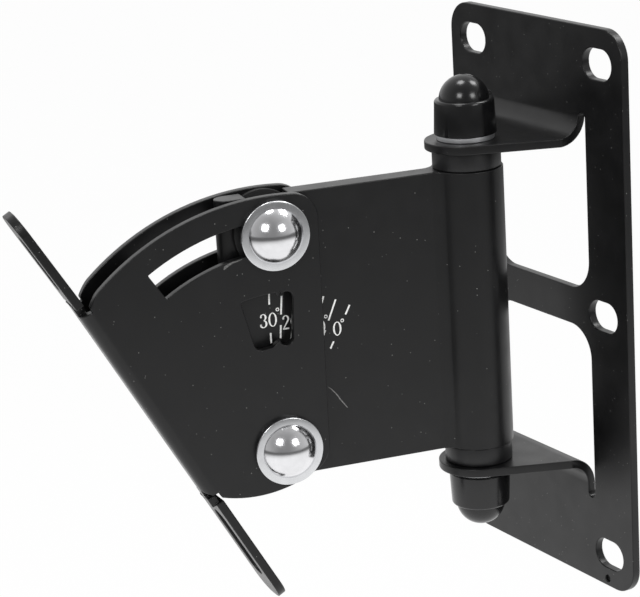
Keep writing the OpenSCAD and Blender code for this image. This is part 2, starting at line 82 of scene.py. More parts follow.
def node_points(node):
    """All corners of a CAD node's mesh, in metres."""
    mesh = frame["nodes"][node].data
    co = np.zeros(len(mesh.vertices) * 3, np.float32)
    mesh.vertices.foreach_get("co", co)
    return co.reshape(-1, 3).astype(float)


def ring_size(node, axis):
    """Centre of a turned node, its start and end along the axis and its inner and outer radius."""
    pts = node_points(node)
    axis = np.array(axis, float)
    middle = (pts.max(0) + pts.min(0)) / 2
    along = (pts - middle) @ axis
    centre = middle + axis * ((along.max() + along.min()) / 2)
    rel = pts - centre
    along = rel @ axis
    flat = rel - along[:, None] * axis
    radius = np.linalg.norm(flat, axis=1)
    return centre, along.min(), along.max(), radius.min(), radius.max()


# Meshes

def hex_colour(text, alpha=1.0):
    """Linear colour of an sRGB hex value."""
    srgb = np.array([int(text[i:i + 2], 16) / 255 for i in (1, 3, 5)])
    linear = np.where(srgb <= 0.04045, srgb / 12.92, ((srgb + 0.055) / 1.055) ** 2.4)
    return (*[float(c) for c in linear], alpha)


def grid_mesh(name, points, close_u=False, close_v=False):
    """Mesh of a surface given as an array of points over two parameters, u by v."""
    nu, nv = points.shape[:2]
    u = np.arange(nu if close_u else nu - 1)
    v = np.arange(nv if close_v else nv - 1)
    uu, vv = np.meshgrid(u, v, indexing="ij")
    a = uu * nv + vv
    b = ((uu + 1) % nu) * nv + vv
    c = ((uu + 1) % nu) * nv + (vv + 1) % nv
    d = uu * nv + (vv + 1) % nv
    faces = np.stack([a, b, c, d], -1).reshape(-1, 4)
    mesh = bpy.data.meshes.new(name)
    mesh.from_pydata(points.reshape(-1, 3).tolist(), [], faces.tolist())
    return mesh


def tidy_mesh(mesh, crease=32.0):
    """Welds doubles, turns the faces outwards and shades smooth up to the crease angle."""
    bm = bmesh.new()
    bm.from_mesh(mesh)
    bmesh.ops.remove_doubles(bm, verts=bm.verts, dist=WELD)
    bmesh.ops.dissolve_degenerate(bm, edges=bm.edges, dist=NO_LENGTH)
    bmesh.ops.recalc_face_normals(bm, faces=bm.faces)
    bm.to_mesh(mesh)
    bm.free()
    mesh.polygons.foreach_set("use_smooth", np.ones(len(mesh.polygons), bool))
    mesh.set_sharp_from_angle(angle=math.radians(crease))
    mesh.update()


def place(mesh, name, material, body, nodes=()):
    """Links a finished mesh, gives it its material and lets it ride on its body."""
    obj = bpy.data.objects.new(name, mesh)
    bpy.context.scene.collection.objects.link(obj)
    mesh.materials.clear()
    mesh.materials.append(material)
    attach(obj, body)
    if nodes:
        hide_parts(*nodes)
    return obj


def rounded_profile(corners, radii, steps=5):
    """Profile with each corner of some radius replaced by an arc of that radius.

    The arc's centre lies on the corner's bisector, as far out as the radius over the sine of half
    the corner's angle. A corner of radius 0 stays.
    """
    out = []
    pts = [np.array(p, float) for p in corners]
    for i, (p, r) in enumerate(zip(pts, radii)):
        if r <= 0:
            out.append(p)
            continue
        a = pts[i - 1] - p
        b = pts[(i + 1) % len(pts)] - p
        a = a / np.linalg.norm(a)
        b = b / np.linalg.norm(b)
        half = math.acos(float(np.clip(a @ b, -1, 1))) / 2
        reach = r / math.tan(half)
        centre = p + (a + b) / np.linalg.norm(a + b) * (r / math.sin(half))
        start = p + a * reach - centre
        end = p + b * reach - centre
        a0 = math.atan2(start[1], start[0])
        turn = (math.atan2(end[1], end[0]) - a0 + math.pi) % (2 * math.pi) - math.pi
        for t in np.linspace(0, 1, steps):
            ang = a0 + turn * t
            out.append(centre + r * np.array([math.cos(ang), math.sin(ang)]))
    return np.array(out)


def revolve(name, profile, centre, axis, segments=128):
    """Surface of revolution: each profile point (radius, height) goes round the axis."""
    axis = np.array(axis, float)
    helper = UP if abs(axis @ UP) < 0.9 else np.array([1.0, 0, 0])
    e1 = np.cross(axis, helper)
    e1 = e1 / np.linalg.norm(e1)
    e2 = np.cross(axis, e1)
    ang = np.linspace(0, 2 * math.pi, segments, endpoint=False)
    ring = np.cos(ang)[:, None] * e1 + np.sin(ang)[:, None] * e2
    pts = (np.array(centre)[None, None]
           + profile[None, :, :1] * ring[:, None, :]
           + profile[None, :, 1:] * axis[None, None])
    mesh = grid_mesh(name, pts, close_u=True, close_v=True)
    tidy_mesh(mesh)
    return mesh


def washer_mesh(name, node, axis, edge):
    """Flat ring with rounded edges, in the place of a turned node."""
    centre, low, high, r_in, r_out = ring_size(node, axis)
    e = edge * MM
    corners = [(r_in, low), (r_out, low), (r_out, high), (r_in, high)]
    profile = rounded_profile(corners, [e * 0.6, e, e, e * 0.6])
    return revolve(name, profile, centre, axis)


def sheet_mesh(name, node):
    """Copy of a folded sheet node, welded, with flat faces joined, ready for round_edges."""
    mesh = frame["nodes"][node].data.copy()
    mesh.name = name
    if mesh.attributes.get("custom_normal"):
        mesh.attributes.remove(mesh.attributes["custom_normal"])
    bm = bmesh.new()
    bm.from_mesh(mesh)
    bmesh.ops.remove_doubles(bm, verts=bm.verts, dist=5 * WELD)
    # Faces that turn less than this against each other, in degrees, are one flat face.
    flat = 0.4
    bmesh.ops.dissolve_limit(bm, angle_limit=math.radians(flat), verts=bm.verts, edges=bm.edges)
    bm.to_mesh(mesh)
    bm.free()
    return mesh


def round_edges(obj, width):
    """Rolls over the cut edges of a sheet piece, as powder coat does, and evens its shading.

    Edges that turn by more than 38 degrees are cut edges; a bend's facets turn by less.
    """
    obj.data.polygons.foreach_set("use_smooth", np.ones(len(obj.data.polygons), bool))
    bevel = obj.modifiers.new("coated edges", "BEVEL")
    bevel.width = width * MM
    bevel.segments = 2
    bevel.limit_method = "ANGLE"
    bevel.angle_limit = math.radians(38)
    bevel.use_clamp_overlap = False
    bevel.miter_outer = "MITER_ARC"
    even = obj.modifiers.new("even shading", "WEIGHTED_NORMAL")
    even.keep_sharp = True
    depsgraph = bpy.context.evaluated_depsgraph_get()
    mesh = bpy.data.meshes.new_from_object(obj.evaluated_get(depsgraph))
    obj.modifiers.clear()
    obj.data = mesh


# Materials

def node_in(tree, kind, values=None, links=None, stops=None, **settings):
    """Adds a node of that kind, sets it, its inputs and its colour stops, and links its inputs."""
    n = tree.nodes.new(kind)
    for key, value in settings.items():
        setattr(n, key, value)
    for i, (position, colour) in enumerate(stops or ()):
        stop = n.color_ramp.elements[i] if i < 2 else n.color_ramp.elements.new(position)
        stop.position, stop.color = position, colour
    for key, value in (values or {}).items():
        n.inputs[key].default_value = value
    for key, output in (links or {}).items():
        tree.links.new(output, n.inputs[key])
    return n


def new_material(name, **values):
    """Material with one Principled shader whose plain sockets are set by name."""
    mat = bpy.data.materials.new(name)
    mat.use_nodes = True
    tree = mat.node_tree
    tree.nodes.clear()
    out = tree.nodes.new("ShaderNodeOutputMaterial")
    shader = node_in(tree, "ShaderNodeBsdfPrincipled", values)
    tree.links.new(shader.outputs[0], out.inputs[0])
    return mat, tree, shader


def at_scale(tree, size_mm, offset=(0, 0, 0)):
    """Object coordinates divided by a real size, so that one unit is that many millimetres."""
    coord = node_in(tree, "ShaderNodeTexCoord")
    s = 1 / (size_mm * MM)
    return node_in(tree, "ShaderNodeMapping", {"Scale": (s, s, s), "Location": offset},
                   {"Vector": coord.outputs["Object"]}).outputs["Vector"]


def grey(v):
    """Linear grey, which masks are drawn in."""
    return (v, v, v, 1)


def shade(colour, factor):
    """A colour made darker or lighter by a factor, alpha kept."""
    return (*[min(1.0, c * factor) for c in tuple(colour)[:3]], 1)


def powder_coat(name, base, light, rough, peel_um, speck):
    """Black polyester powder coat, baked: a satin skin with faint orange peel and dust grains."""
    mat, tree, shader = new_material(name, **{"Metallic": 0.0, "IOR": 1.45})
    cloud = node_in(tree, "ShaderNodeTexNoise", {"Scale": 1.0, "Detail": 3.0, "Roughness": 0.55},
                    {"Vector": at_scale(tree, 26)})
    tone = node_in(tree, "ShaderNodeValToRGB", links={"Fac": cloud.outputs["Fac"]},
                   stops=((0.3, base), (0.75, light)))
    # Grains lie 2 mm apart in the solid pattern, so that a face cuts one about every centimetre.
    dust = node_in(tree, "ShaderNodeTexVoronoi", {"Scale": 1.0, "Randomness": 1.0},
                   {"Vector": at_scale(tree, 2.2)})
    grain = node_in(tree, "ShaderNodeValToRGB", links={"Fac": dust.outputs["Distance"]},
                    stops=((0.055, grey(1)), (0.085, grey(0))))
    few = node_in(tree, "ShaderNodeValToRGB", links={"Fac": dust.outputs["Color"]},
                  stops=((0.54, grey(0)), (0.66, grey(1))))
    mask = node_in(tree, "ShaderNodeMath", operation="MULTIPLY",
                   links={0: grain.outputs["Color"], 1: few.outputs["Color"]})
    shown = node_in(tree, "ShaderNodeMath", {1: speck}, {0: mask.outputs[0]}, operation="MULTIPLY")
    colour = node_in(tree, "ShaderNodeMix", {"B": hex_colour("#8a8a88")},
                     {"Factor": shown.outputs[0], "A": tone.outputs["Color"]}, data_type="RGBA")
    tree.links.new(colour.outputs["Result"], shader.inputs["Base Color"])
    wear = node_in(tree, "ShaderNodeTexNoise", {"Scale": 1.0, "Detail": 2.0},
                   {"Vector": at_scale(tree, 7, (3.1, 1.7, 0.4))})
    gloss = node_in(tree, "ShaderNodeMapRange", {
        "From Min": 0.3, "From Max": 0.7, "To Min": rough - 0.03, "To Max": rough + 0.04},
        {"Value": wear.outputs["Fac"]})
    tree.links.new(gloss.outputs["Result"], shader.inputs["Roughness"])
    # Real orange peel is about 0.7 mm from crest to crest.
    peel = node_in(tree, "ShaderNodeTexNoise", {"Scale": 1.0, "Detail": 1.0},
                   {"Vector": at_scale(tree, 0.7)})
    bump = node_in(tree, "ShaderNodeBump", {"Strength": 1.0, "Distance": peel_um * 1e-6},
                   {"Height": peel.outputs["Fac"]})
    tree.links.new(bump.outputs["Normal"], shader.inputs["Normal"])
    return mat


def turned_metal(name, colour, rough, lines_mm, line_um, centre, axis):
    """Turned or rolled steel with rings round its axis that are too fine to see one by one."""
    mat, tree, shader = new_material(name, **{"Metallic": 1.0, "Roughness": rough})
    coord = node_in(tree, "ShaderNodeTexCoord")
    rel = node_in(tree, "ShaderNodeVectorMath", {1: tuple(centre)}, {0: coord.outputs["Object"]},
                  operation="SUBTRACT")
    across = node_in(tree, "ShaderNodeVectorMath", {1: tuple(axis)}, {0: rel.outputs["Vector"]},
                     operation="CROSS_PRODUCT")
    radius = node_in(tree, "ShaderNodeVectorMath", links={0: across.outputs["Vector"]},
                     operation="LENGTH")
    rings = node_in(tree, "ShaderNodeTexNoise", {"Scale": 1 / (lines_mm * MM), "Detail": 2.0},
                    {"W": radius.outputs["Value"]}, noise_dimensions="1D")
    cloud = node_in(tree, "ShaderNodeTexNoise", {"Scale": 1.0, "Detail": 2.0},
                    {"Vector": at_scale(tree, 5)})
    tone = node_in(tree, "ShaderNodeValToRGB", links={"Fac": cloud.outputs["Fac"]},
                   stops=((0.3, colour), (0.8, shade(colour, 0.86))))
    tree.links.new(tone.outputs["Color"], shader.inputs["Base Color"])
    bump = node_in(tree, "ShaderNodeBump", {"Strength": 1.0, "Distance": line_um * 1e-6},
                   {"Height": rings.outputs["Fac"]})
    tree.links.new(bump.outputs["Normal"], shader.inputs["Normal"])
    return mat


def moulded_plastic(name, colour, rough, flow_mm, grain_um):
    """Black moulded polyamide or ABS: even gloss with slight flow marks in its skin."""
    mat, tree, shader = new_material(name, **{"Metallic": 0.0, "IOR": 1.5})
    flow = node_in(tree, "ShaderNodeTexNoise", {"Scale": 1.0, "Detail": 2.0},
                   {"Vector": at_scale(tree, flow_mm)})
    tone = node_in(tree, "ShaderNodeValToRGB", links={"Fac": flow.outputs["Fac"]},
                   stops=((0.3, colour), (0.8, shade(colour, 1.35))))
    tree.links.new(tone.outputs["Color"], shader.inputs["Base Color"])
    gloss = node_in(tree, "ShaderNodeMapRange", {
        "From Min": 0.3, "From Max": 0.7, "To Min": rough * 0.85, "To Max": rough * 1.2},
        {"Value": flow.outputs["Fac"]})
    tree.links.new(gloss.outputs["Result"], shader.inputs["Roughness"])
    grain = node_in(tree, "ShaderNodeTexNoise", {"Scale": 1.0, "Detail": 1.0},
                    {"Vector": at_scale(tree, 0.5)})
    bump = node_in(tree, "ShaderNodeBump", {"Strength": 1.0, "Distance": grain_um * 1e-6},
                   {"Height": grain.outputs["Fac"]})
    tree.links.new(bump.outputs["Normal"], shader.inputs["Normal"])
    return mat


def printed_ink(name, colour):
    """White pad-printing ink: matt, with thin spots where the coat shows through."""
    mat, tree, shader = new_material(name, **{"Metallic": 0.0, "Roughness": 0.6})
    thin = node_in(tree, "ShaderNodeTexNoise", {"Scale": 1.0, "Detail": 3.0},
                   {"Vector": at_scale(tree, 0.6)})
    tone = node_in(tree, "ShaderNodeValToRGB", links={"Fac": thin.outputs["Fac"]},
                   stops=((0.28, shade(colour, 0.7)), (0.5, colour)))
    tree.links.new(tone.outputs["Color"], shader.inputs["Base Color"])
    return mat


def rubbed_coat_and_painted_shade(name, low, high, rough):
    """Coat that was scratched or worn, and also a matt strip of painted shade: a dusty tone that
    wanders between two greys.
    """
    mat, tree, shader = new_material(name, **{"Metallic": 0.0, "Roughness": rough})
    grit = node_in(tree, "ShaderNodeTexNoise", {"Scale": 1.0}, {"Vector": at_scale(tree, 0.8)})
    tone = node_in(tree, "ShaderNodeValToRGB", links={"Fac": grit.outputs["Fac"]},
                   stops=((0.3, hex_colour(low)), (0.7, hex_colour(high))))
    tree.links.new(tone.outputs["Color"], shader.inputs["Base Color"])
    return mat


def sheet_material(which):
    """The powder coat of one sheet piece; each piece was coated by itself."""
    coat = bpy.context.scene.bracket_coat
    name = {"wall_plate": "powder coat of the plate", "arm": "powder coat of the arm",
            "head": "powder coat of the head"}[which]
    return bpy.data.materials.get(name) or powder_coat(
        name, coat.base, coat.light, coat.roughness, coat.peel, coat.dust)


def zinc_material(node, axis, dulled=0.0):
    """Bright zinc plate on one turned piece, rougher where it is dulled."""
    hw = bpy.context.scene.bracket_hardware
    centre = ring_size(node, axis)[0]
    return turned_metal("zinc plate " + node, hw.zinc, hw.zinc_rough + dulled, 0.25, 2.0,
                        centre, axis)


# Settings

class BracketCoat(bpy.types.PropertyGroup):
    """Black powder coat on the folded sheet pieces"""
    base: bpy.props.FloatVectorProperty(
        name="Coat", description="Colour of the black coat",
        subtype="COLOR", size=4, min=0, max=1, default=hex_colour("#0a0a0b"))
    light: bpy.props.FloatVectorProperty(
        name="Coat, light", description="Colour of its lighter clouds",
        subtype="COLOR", size=4, min=0, max=1, default=hex_colour("#0f0f10"))
    roughness: bpy.props.FloatProperty(
        name="Roughness", description="Roughness of the coat",
        default=0.34, min=0, max=1, subtype="FACTOR")
    peel: bpy.props.FloatProperty(
        name="Orange peel", description="Depth of the orange peel in micrometres",
        default=5.0, min=0, max=40)
    dust: bpy.props.FloatProperty(
        name="Dust", description="How much the dust grains show",
        default=0.9, min=0, max=1, subtype="FACTOR")
    edge: bpy.props.FloatProperty(
        name="Edge", description="Rounding of the cut sheet edges in mm",
        default=0.35, min=0.05, max=1)


class BracketHardware(bpy.types.PropertyGroup):
    """Bright bolts, nuts and washers"""
    polished: bpy.props.FloatVectorProperty(
        name="Polished steel", description="Colour of the domed bolts",
        subtype="COLOR", size=4, min=0, max=1, default=hex_colour("#e6e6e8"))
    polish_rough: bpy.props.FloatProperty(
        name="Polish", description="Roughness of the domed bolts",
        default=0.16, min=0, max=1, subtype="FACTOR")
    zinc: bpy.props.FloatVectorProperty(
        name="Zinc", description="Colour of the zinc plate",
        subtype="COLOR", size=4, min=0, max=1, default=hex_colour("#dcdddf"))
    zinc_rough: bpy.props.FloatProperty(
        name="Zinc roughness", description="Roughness of the zinc plate",
        default=0.24, min=0, max=1, subtype="FACTOR")
    washer_edge: bpy.props.FloatProperty(
        name="Washer edge", description="Rounding of the washer edges in mm",
        default=0.35, min=0.05, max=0.8)
    thread_pitch: bpy.props.FloatProperty(
        name="Thread pitch", description="Pitch of the bolt threads in mm",
        default=1.5, min=0.5, max=3)
    thread_depth: bpy.props.FloatProperty(
        name="Thread depth", description="Depth of the bolt threads in mm",
        default=0.7, min=0.1, max=1.2)


class BracketPlastic(bpy.types.PropertyGroup):
    """Black plastic caps, bushes and liners"""
    cap: bpy.props.FloatVectorProperty(
        name="Cap", description="Colour of the caps",
        subtype="COLOR", size=4, min=0, max=1, default=hex_colour("#0c0c0d"))
    cap_rough: bpy.props.FloatProperty(
        name="Cap roughness", description="Roughness of the caps",
        default=0.22, min=0, max=1, subtype="FACTOR")
    bush: bpy.props.FloatVectorProperty(
        name="Bush", description="Colour of the bushes and liners",
        subtype="COLOR", size=4, min=0, max=1, default=hex_colour("#111112"))
    bush_rough: bpy.props.FloatProperty(
        name="Bush roughness", description="Roughness of the bushes",
        default=0.38, min=0, max=1, subtype="FACTOR")


class BracketScale(bpy.types.PropertyGroup):
    """Printed tilt scale"""
    ink: bpy.props.FloatVectorProperty(
        name="Ink", description="Colour of the printed scale",
        subtype="COLOR", size=4, min=0, max=1, default=hex_colour("#f2f2f0"))
    line: bpy.props.FloatProperty(
        name="Line width", description="Width of the scale's marks in mm",
        default=0.62, min=0.2, max=1.5)
    digit: bpy.props.FloatProperty(
        name="Digit height", description="Height of the figures in mm",
        default=5.1, min=2, max=8)
    ring: bpy.props.FloatProperty(
        name="Ring", description="Radius of the degree rings in mm",
        default=0.5, min=0.2, max=1)
    ring_line: bpy.props.FloatProperty(
        name="Ring line", description="Line width of the degree rings in mm",
        default=0.3, min=0.1, max=0.6)


class BracketStage(bpy.types.PropertyGroup):
    """Camera and floor"""
    azimuth: bpy.props.FloatProperty(
        name="Azimuth", description="Camera direction round the bracket in degrees",
        default=60.03)
    elevation: bpy.props.FloatProperty(
        name="Elevation", description="Camera height angle in degrees",
        default=16.35)
    roll: bpy.props.FloatProperty(
        name="Roll", description="Camera roll in degrees",
        default=-3.5)
    lens: bpy.props.FloatProperty(
        name="Lens", description="Focal length for a 36 mm wide picture",
        unit="CAMERA", default=135.0, min=10)
    camera_at: bpy.props.FloatVectorProperty(
        name="Camera", description="Place of the camera",
        size=3, subtype="TRANSLATION", default=(0.669606, -0.479574, 0.243517))
    floor_z: bpy.props.FloatProperty(
        name="Floor", description="Height of the floor",
        unit="LENGTH", default=-0.24)


# Pieces

class BRACKET_OT_sheets(bpy.types.Operator):
    """Wall plate, arm and head: folded steel sheet with rounded, coated edges"""
    bl_idname = "bracket.sheets"
    bl_label = "Folded sheet pieces"

    def execute(self, context):
        edge = context.scene.bracket_coat.edge
        for node, name, body, slot in (
                ("wall_plate", "coated_wall_plate", "wall_mount", "coated_plate"),
                ("arm", "coated_arm_sheet", "swivel_arm", "coated_arm"),
                ("head", "coated_head_sheet", "tilt_head", "coated_head")):
            obj = place(sheet_mesh(name, node), name, sheet_material(node), body, [node])
            round_edges(obj, edge)
        return {"FINISHED"}


class BRACKET_OT_caps(bpy.types.Operator):
    """Glossy plastic caps over the head and the nut of the swivel bolt"""
    bl_idname = "bracket.caps"
    bl_label = "Swivel bolt caps"

    def execute(self, context):
        p = context.scene.bracket_plastic
        mat = moulded_plastic("moulded cap plastic", p.cap, p.cap_rough, 9, 1.0)
        dome, body, wall, draft = 8.7 * MM, 12 * MM, MM, 0.55 * MM
        foot_round, rim_round = 0.25 * MM, 1.0 * MM
        for node, sign in (("upper_cap", 1), ("lower_cap", -1)):
            low, high = (np.array(v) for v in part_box(node))
            foot = low[2] if sign > 0 else high[2]
            height = high[2] - low[2]
            wide = (high[0] - low[0]) / 2
            narrow = wide - draft
            # The dome is a ball, whose middle lies one radius under the top.
            ball = height - dome
            start = math.asin(np.clip((body - ball) / dome, -1, 1))
            shell = rounded_profile(
                [(wide - 0.95 * MM, 0), (wide, 0), (narrow, body), (dome * math.cos(start), body)],
                [0, foot_round, rim_round, 0], 7)
            sweep = np.linspace(start, math.pi / 2, 26)
            over = np.stack([dome * np.cos(sweep), ball + dome * np.sin(sweep)], 1)
            back = np.linspace(math.pi / 2, 0, 24)[:-1]
            under = np.stack([(dome - wall) * np.cos(back), ball + (dome - wall) * np.sin(back)], 1)
            inner = np.array([(dome - wall, body - wall), (narrow - wall, body - wall)])
            over[-1, 0] = 0
            under[0, 0] = 0
            profile = np.concatenate([shell, over[1:], under, inner])
            centre = np.array([(low[0] + high[0]) / 2, (low[1] + high[1]) / 2, foot])
            mesh = revolve(node + "_shell", profile, centre, UP * sign, 160)
            place(mesh, node + "_shell", mat, "wall_mount", [node])
        return {"FINISHED"}


class BRACKET_OT_bushes(bpy.types.Operator):
    """Flanged plastic bushes at the two ends of the arm's knuckle"""
    bl_idname = "bracket.bushes"
    bl_label = "Flanged bushes"

    def execute(self, context):
        p = context.scene.bracket_plastic
        mat = moulded_plastic("moulded bush plastic", p.bush, p.bush_rough, 6, 3.0)
        for node, sign in (("upper_bush", 1), ("lower_bush", -1)):
            pts = node_points(node)
            radius = np.linalg.norm(pts[:, :2] - SWIVEL[:2], axis=1)
            along = (pts[:, 2] - SWIVEL[2]) * sign
            flange = along[radius > radius.max() - 0.1 * MM]
            spigot = radius[along < flange.min() - MM].max()
            e = 0.5 * MM
            profile = rounded_profile(
                [(radius.min(), along.min()), (spigot, along.min()),
                 (spigot, flange.min()), (radius.max(), flange.min()),
                 (radius.max(), flange.max()), (radius.min(), flange.max())],
                [0, e, 0, e, e, 0])
            mesh = revolve(node + "_ring", profile, SWIVEL, UP * sign, 160)
            place(mesh, node + "_ring", mat, "swivel_arm", [node])
        return {"FINISHED"}


class BRACKET_OT_bolts(bpy.types.Operator):
    """Polished domed bolts with rolled threads on their far ends"""
    bl_idname = "bracket.bolts"
    bl_label = "Domed head bolts"

    def execute(self, context):
        hw = context.scene.bracket_hardware
        threaded, lead_in, core, turns, rows = 15 * MM, 0.9 * MM, 0.4 * MM, 128, 132
        pitch, depth = hw.thread_pitch * MM, hw.thread_depth * MM
        ang = np.linspace(0, 2 * math.pi, turns, endpoint=False)
        for node in ("clamp_bolt", "pivot_bolt"):
            pts = node_points(node)
            middle = PIVOT + UP * ((pts[:, 2].max() + pts[:, 2].min()) / 2 - PIVOT[2])
            along = (pts - middle) @ SIDE
            radius = np.linalg.norm(pts - middle - along[:, None] * SIDE, axis=1)
            r_head, end, top = radius.max(), along.min(), along.max()
            seat = along[radius > r_head - 0.05 * MM].min()
            shank = radius[along < seat - 3 * MM].max()
            rise = top - seat
            ball = (r_head ** 2 + rise ** 2) / (2 * rise)
            # The dome starts just inside the head's rim, which is rounded.
            sweep = np.linspace(math.asin(0.985 * r_head / ball), 0, 40)
            over = np.stack([ball * np.sin(sweep), top - ball + ball * np.cos(sweep)], 1)
            over[-1, 0] = 0
            # Threads: the radius falls and rises along a helix, one turn to each pitch.
            z = np.linspace(end + lead_in, end + threaded, rows)
            phase = (z[None] / pitch - ang[:, None] / (2 * math.pi)) % 1.0
            tooth = np.clip(1.35 * np.abs(2 * phase - 1) - 0.15, 0, 1)
            r = shank - depth * tooth
            r[:, 0] = shank - depth
            r[:, -1] = shank
            plain = rounded_profile(
                [(shank, end + threaded), (shank, seat), (r_head, seat), tuple(over[0])],
                [0, 0, 0.25 * MM, 0], 4)
            rr = np.concatenate([np.zeros((turns, 1)), np.full((turns, 1), shank - depth - core), r,
                                 np.repeat(plain[None, 1:, 0], turns, 0),
                                 np.repeat(over[None, 1:, 0], turns, 0)], 1)
            zz = np.concatenate([[end, end], z, plain[1:, 1], over[1:, 1]])
            e2 = np.cross(SIDE, UP)
            ring = np.cos(ang)[:, None] * UP + np.sin(ang)[:, None] * e2
            pts3 = middle + rr[..., None] * ring[:, None, :] + zz[None, :, None] * SIDE
            mesh = grid_mesh(node + "_piece", pts3, close_u=True)
            tidy_mesh(mesh, 40)
            mat = turned_metal("polished steel " + node, hw.polished, hw.polish_rough, 0.6, 0.6,
                               middle, SIDE)
            place(mesh, node + "_piece", mat, "swivel_arm", [node])
        return {"FINISHED"}


class BRACKET_OT_washers(bpy.types.Operator):
    """Zinc plated washers, plastic liners and the notch sleeve, with rounded edges"""
    bl_idname = "bracket.washers"
    bl_label = "Washers and liners"

    def execute(self, context):
        hw = context.scene.bracket_hardware
        p = context.scene.bracket_plastic
        liner = moulded_plastic("liner plastic", shade(p.bush, 0.4), 0.6, 4, 4.0)
        for node in ("clamp_near_washer", "clamp_far_washer",
                     "pivot_near_washer", "pivot_far_washer"):
            place(washer_mesh(node + "_ring", node, SIDE, hw.washer_edge), node + "_ring",
                  zinc_material(node, SIDE), "swivel_arm", [node])
        # The washers under the caps are duller and so look evenly pale from every side.
        for node in ("upper_swivel_washer", "lower_swivel_washer"):
            place(washer_mesh(node + "_ring", node, UP, hw.washer_edge), node + "_ring",
                  zinc_material(node, UP, 0.25), "wall_mount", [node])
        for node in ("clamp_near_liner", "clamp_far_liner", "pivot_near_liner", "pivot_far_liner"):
            place(washer_mesh(node + "_ring", node, SIDE, 0.2), node + "_ring", liner,
                  "swivel_arm", [node])
        place(washer_mesh("notch_sleeve_ring", "notch_sleeve", SIDE, 0.3), "notch_sleeve_ring",
              zinc_material("notch_sleeve", SIDE), "swivel_arm", ["notch_sleeve"])
        return {"FINISHED"}


class BRACKET_OT_nuts(bpy.types.Operator):
    """Finish of the nuts, spring washers and the swivel bolt"""
    bl_idname = "bracket.nuts"
    bl_label = "Nuts and spring washers"

    def execute(self, context):
        for node, axis in (("clamp_nut", SIDE), ("pivot_nut", SIDE), ("clamp_spring_washer", SIDE),
                           ("pivot_spring_washer", SIDE), ("swivel_bolt", UP), ("swivel_nut", UP)):
            mesh = frame["nodes"][node].data
            mesh.materials.clear()
            mesh.materials.append(zinc_material(node, axis))
        return {"FINISHED"}


def flat_thickness(node):
    """Thickness in metres of the flat part of a node across the arm's side direction."""
    across = (node_points(node) - PIVOT) @ SIDE
    front = (node_points(node) - PIVOT) @ AWAY
    near = across[front > -10 * MM]
    return near.max() - near.min()


def flat_mesh(name, strips, origin):
    """Mesh of flat strips in the arm's plane, each a row of point pairs, forwards and up, in mm."""
    verts, faces = [], []
    for st in strips:
        k = len(verts) + 2 * np.arange(len(st) - 1)
        pts = st.reshape(-1, 2) * MM
        verts.extend((origin + pts[:, :1] * AWAY + pts[:, 1:] * UP).tolist())
        faces.extend(np.stack([k, k + 1, k + 3, k + 2], 1).tolist())
    mesh = bpy.data.meshes.new(name)
    mesh.from_pydata(verts, [], faces)
    bm = bmesh.new()
    bm.from_mesh(mesh)
    bmesh.ops.reverse_faces(bm, faces=[f for f in bm.faces if f.normal.dot(tuple(SIDE)) < 0])
    bm.to_mesh(mesh)
    bm.free()
    return mesh


def bar_points(a, b, width):
    """Four corners of a straight mark from a to b, in the arm's own plane."""
    a, b = np.array(a, float), np.array(b, float)
    d = (b - a) / np.linalg.norm(b - a)
    n = np.array([-d[1], d[0]]) * width / 2
    return np.array([a - n, b - n, b + n, a + n])


def stroke(points, widths):
    """Outline strip along a path of points, each with its own width."""
    p = np.array(points, float)
    t = np.gradient(p, axis=0)
    t = t / np.linalg.norm(t, axis=1)[:, None]
    n = np.stack([-t[:, 1], t[:, 0]], 1) * np.array(widths, float)[:, None] / 2
    return np.stack([p + n, p - n], 1)


def oval(cx, cy, rx, ry, thick, thin, a0=0.0, a1=360.0, steps=40):
    """Part of an oval with a heavy stem at its sides and a light one above and below."""
    a = np.radians(np.linspace(a0, a1, steps))
    pts = np.stack([cx + rx * np.cos(a), cy + ry * np.sin(a)], 1)
    return stroke(pts, thin + (thick - thin) * np.cos(a) ** 2)


def figure_strokes(figure):
    """Strokes of one figure in a box one unit high, in a plain book face."""
    if figure == "0":
        return [oval(0.29, 0.5, 0.235, 0.46, 0.13, 0.06)]
    if figure == "3":
        return [oval(0.24, 0.74, 0.17, 0.21, 0.13, 0.06, 160, -80),
                oval(0.24, 0.28, 0.20, 0.24, 0.14, 0.06, 85, -165),
                oval(0.09, 0.78, 0.03, 0.03, 0.07, 0.07), oval(0.06, 0.22, 0.03, 0.03, 0.07, 0.07)]
    if figure == "2":
        bow = oval(0.26, 0.72, 0.18, 0.23, 0.13, 0.06, 170, -35)
        leg = stroke(np.stack([np.linspace(0.41, 0.07, 12), np.linspace(0.60, 0.06, 12)], 1),
                     np.linspace(0.12, 0.06, 12))
        foot = stroke([[0.04, 0.06], [0.25, 0.055], [0.47, 0.05]], [0.11, 0.12, 0.10])
        return [bow, leg, foot, oval(0.10, 0.76, 0.03, 0.03, 0.07, 0.07)]
    return [stroke([[0.1, 0.9], [0.1, 0.0]], [0.12, 0.12])]


# Radii in mm between which each tilt mark is printed, above and below its figure.
MARK_SPANS = {0: ((49.9, 53.5), (37.1, 39.8)), 5: ((46.0, 53.7), (40.6, 42.5)),
              10: ((51.0, 53.8), (37.3, 40.2)), 15: ((46.6, 53.5), (38.5, 42.8)),
              20: ((50.9, 54.4), (37.3, 40.6)), 25: ((46.8, 53.3), (38.5, 43.1)),
              30: ((50.9, 54.6), (37.3, 40.9))}
# Angle of each mark from upright at the height of the figures, positive towards the front.
MARK_ANGLES = {0: -30.15, 5: -24.0, 10: -18.9, 15: -13.4, 20: -7.9, 25: -2.26, 30: 2.68}
# Middle of each figure and of its degree ring, in mm forwards and upwards from the pivot.
FIGURES = {"30": ((2.6, 45.4), (-0.8, 48.7)), "20": ((-5.2, 43.8), (-8.6, 47.1)),
           "10": ((-14.4, 40.3), (-17.8, 43.6)), "0": ((-21.7, 38.7), (-23.6, 41.3))}


